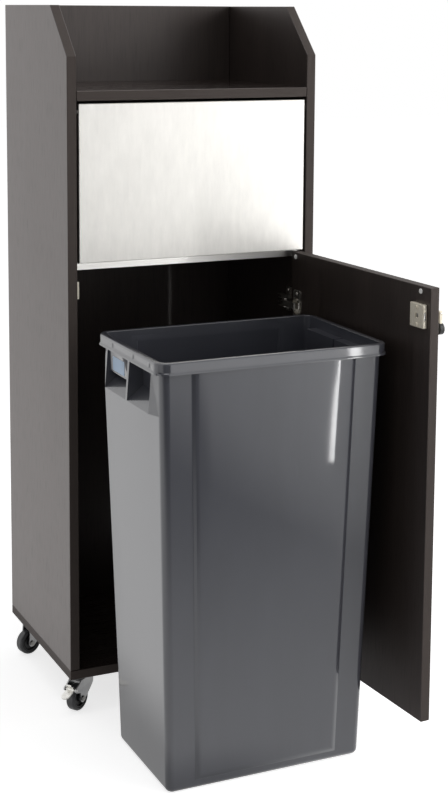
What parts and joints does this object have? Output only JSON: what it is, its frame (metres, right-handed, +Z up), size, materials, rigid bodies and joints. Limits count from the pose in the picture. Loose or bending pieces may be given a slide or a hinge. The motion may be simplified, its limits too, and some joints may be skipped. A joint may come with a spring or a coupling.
{
  "type": "waste bin cabinet",
  "caption": "Tall dark board waste cabinet on castors with sloped sides, a tray shelf, a steel push flap, a lockable hinged door standing open, and its loose tapered plastic tub set in front.",
  "frame": {"origin": "on the floor under the centre of the cabinet body", "axes": "+Z up, the cabinet faces -Y, +X to the right as seen from the front"},
  "size_m": [0.5427, 0.8221, 1.326],
  "materials": {
    "wenge_board": "dark wenge foil, satin",
    "core_board": "dark backing, matt",
    "flap_steel": "brushed stainless",
    "rail_steel": "bright stainless",
    "hinge_nickel": "nickel plated",
    "lock_nickel": "satin nickel, warm",
    "castor_zinc": "zinc plated",
    "bright_steel": "bright plated",
    "white_nylon": "white nylon",
    "tub_plastic": "grey moulded plastic",
    "label_plastic": "bare pale plate",
    "black_plastic": "black moulded plastic",
    "tyre_rubber": "dark grey tread"
  },
  "bodies": {
    "cabinet": {"side_panel_left": "wenge_board", "side_panel_right": "wenge_board", "back_panel": "wenge_board", "base_board": "wenge_board", "tray_shelf": "wenge_board", "stop_rail": "rail_steel", "strike_plate": "lock_nickel", "hinge_plate_upper": "hinge_nickel", "hinge_plate_lower": "hinge_nickel", "hinge_arm_upper": "hinge_nickel", "hinge_arm_lower": "hinge_nickel", "flap_bush_left": "white_nylon", "flap_bush_right": "white_nylon", "castor_plate_front_left": "castor_zinc", "castor_plate_front_right": "castor_zinc", "castor_plate_rear_left": "castor_zinc", "castor_plate_rear_right": "castor_zinc"},
    "door": {"door_panel": "wenge_board", "bumper_hinge_side": "white_nylon", "bumper_free_side": "white_nylon", "hinge_cup_upper": "hinge_nickel", "hinge_cup_lower": "hinge_nickel", "lock_case": "lock_nickel", "lock_barrel": "bright_steel", "lock_escutcheon": "lock_nickel"},
    "link_upper": {"hinge_link_upper": "hinge_nickel"},
    "link_lower": {"hinge_link_lower": "hinge_nickel"},
    "bolt": {"lock_bolt": "bright_steel"},
    "key": {"lock_plug": "lock_nickel", "key_shank": "bright_steel"},
    "bow": {"key_bow": "black_plastic"},
    "flap": {"flap_front": "flap_steel", "flap_core": "core_board", "flap_pin_left": "bright_steel", "flap_pin_right": "bright_steel"},
    "bin": {"bin_tub": "tub_plastic", "label_plate": "label_plastic"},
    "castor_front_left": {"castor_fork_front_left": "castor_zinc", "castor_axle_front_left": "bright_steel"},
    "wheel_front_left": {"castor_hub_front_left": "black_plastic", "castor_tyre_front_left": "tyre_rubber"},
    "castor_front_right": {"castor_fork_front_right": "castor_zinc", "castor_axle_front_right": "bright_steel"},
    "wheel_front_right": {"castor_hub_front_right": "black_plastic", "castor_tyre_front_right": "tyre_rubber"},
    "castor_rear_left": {"castor_fork_rear_left": "castor_zinc", "castor_axle_rear_left": "bright_steel"},
    "wheel_rear_left": {"castor_hub_rear_left": "black_plastic", "castor_tyre_rear_left": "tyre_rubber"},
    "castor_rear_right": {"castor_fork_rear_right": "castor_zinc", "castor_axle_rear_right": "bright_steel"},
    "wheel_rear_right": {"castor_hub_rear_right": "black_plastic", "castor_tyre_rear_right": "tyre_rubber"},
    "brake_front_left": {"brake_pedal_front_left": "bright_steel"},
    "brake_front_right": {"brake_pedal_front_right": "bright_steel"}
  },
  "joints": [
    {"name": "door_hinge", "type": "hinge", "parent": "cabinet", "child": "door", "pos_m": [0.224, -0.183, 0.475], "axis": [0, 0, -1], "range_deg": [0, 93.4]},
    {"name": "link_upper_fold", "type": "hinge", "parent": "door", "child": "link_upper", "pos_m": [0.2145, -0.20009, 0.754], "axis": [0, 0, 1], "range_deg": [0, 75]},
    {"name": "link_lower_fold", "type": "hinge", "parent": "door", "child": "link_lower", "pos_m": [0.2145, -0.20009, 0.196], "axis": [0, 0, 1], "range_deg": [0, 75]},
    {"name": "bin_slide", "type": "slide", "parent": "cabinet", "child": "bin", "axis": [-1, 0, 0], "range_m": [0, 0.7]},
    {"name": "key_turn", "type": "hinge", "parent": "door", "child": "key", "pos_m": [0.24341, -0.6083, 0.808], "axis": [0.9982, 0.0593, 0], "range_deg": [0, 190]},
    {"name": "bolt_throw", "type": "slide", "parent": "door", "child": "bolt", "axis": [0.0593, -0.9982, 0], "range_m": [0, 0.008]},
    {"name": "bow_fold", "type": "hinge", "parent": "key", "child": "bow", "pos_m": [0.27281, -0.60655, 0.808], "axis": [0.0593, -0.9982, 0], "range_deg": [0, 90]},
    {"name": "flap_swing", "type": "hinge", "parent": "cabinet", "child": "flap", "pos_m": [0, -0.1765, 1.136], "axis": [1, 0, 0], "range_deg": [0, 75]},
    {"name": "swivel_front_left", "type": "hinge", "parent": "cabinet", "child": "castor_front_left", "pos_m": [-0.208, -0.143, 0.065], "axis": [0, 0, 1], "continuous": true},
    {"name": "roll_front_left", "type": "hinge", "parent": "castor_front_left", "child": "wheel_front_left", "pos_m": [-0.22766, -0.15677, 0.025], "axis": [-0.5736, 0.8192, 0], "continuous": true},
    {"name": "swivel_front_right", "type": "hinge", "parent": "cabinet", "child": "castor_front_right", "pos_m": [0.208, -0.143, 0.065], "axis": [0, 0, 1], "continuous": true},
    {"name": "roll_front_right", "type": "hinge", "parent": "castor_front_right", "child": "wheel_front_right", "pos_m": [0.18545, -0.15121, 0.025], "axis": [-0.342, 0.9397, 0], "continuous": true},
    {"name": "swivel_rear_left", "type": "hinge", "parent": "cabinet", "child": "castor_rear_left", "pos_m": [-0.208, 0.143, 0.065], "axis": [0, 0, 1], "continuous": true},
    {"name": "roll_rear_left", "type": "hinge", "parent": "castor_rear_left", "child": "wheel_rear_left", "pos_m": [-0.23095, 0.13598, 0.025], "axis": [-0.2924, 0.9563, 0], "continuous": true},
    {"name": "swivel_rear_right", "type": "hinge", "parent": "cabinet", "child": "castor_rear_right", "pos_m": [0.208, 0.143, 0.065], "axis": [0, 0, 1], "continuous": true},
    {"name": "roll_rear_right", "type": "hinge", "parent": "castor_rear_right", "child": "wheel_rear_right", "pos_m": [0.18423, 0.13966, 0.025], "axis": [-0.1392, 0.9903, 0], "continuous": true},
    {"name": "brake_press_front_left", "type": "hinge", "parent": "castor_front_left", "child": "brake_front_left", "pos_m": [-0.24363, -0.16795, 0.0465], "axis": [0.5736, -0.8192, 0], "range_deg": [0, 10], "stiffness_Nm_per_rad": 0.5, "springref_deg": -11.46},
    {"name": "brake_press_front_right", "type": "hinge", "parent": "castor_front_right", "child": "brake_front_right", "pos_m": [0.16712, -0.15788, 0.0465], "axis": [0.342, -0.9397, 0], "range_deg": [0, 10], "stiffness_Nm_per_rad": 0.5, "springref_deg": -11.46}
  ],
  "couplings": [
    {"joint": "link_upper_fold", "follows": "door_hinge", "ratio": 0.78},
    {"joint": "link_lower_fold", "follows": "door_hinge", "ratio": 0.78},
    {"joint": "bin_slide", "follows": "door_hinge", "m_per_rad": 0.41},
    {"joint": "key_turn", "follows": "bolt_throw", "rad_per_m": 392}
  ]
}
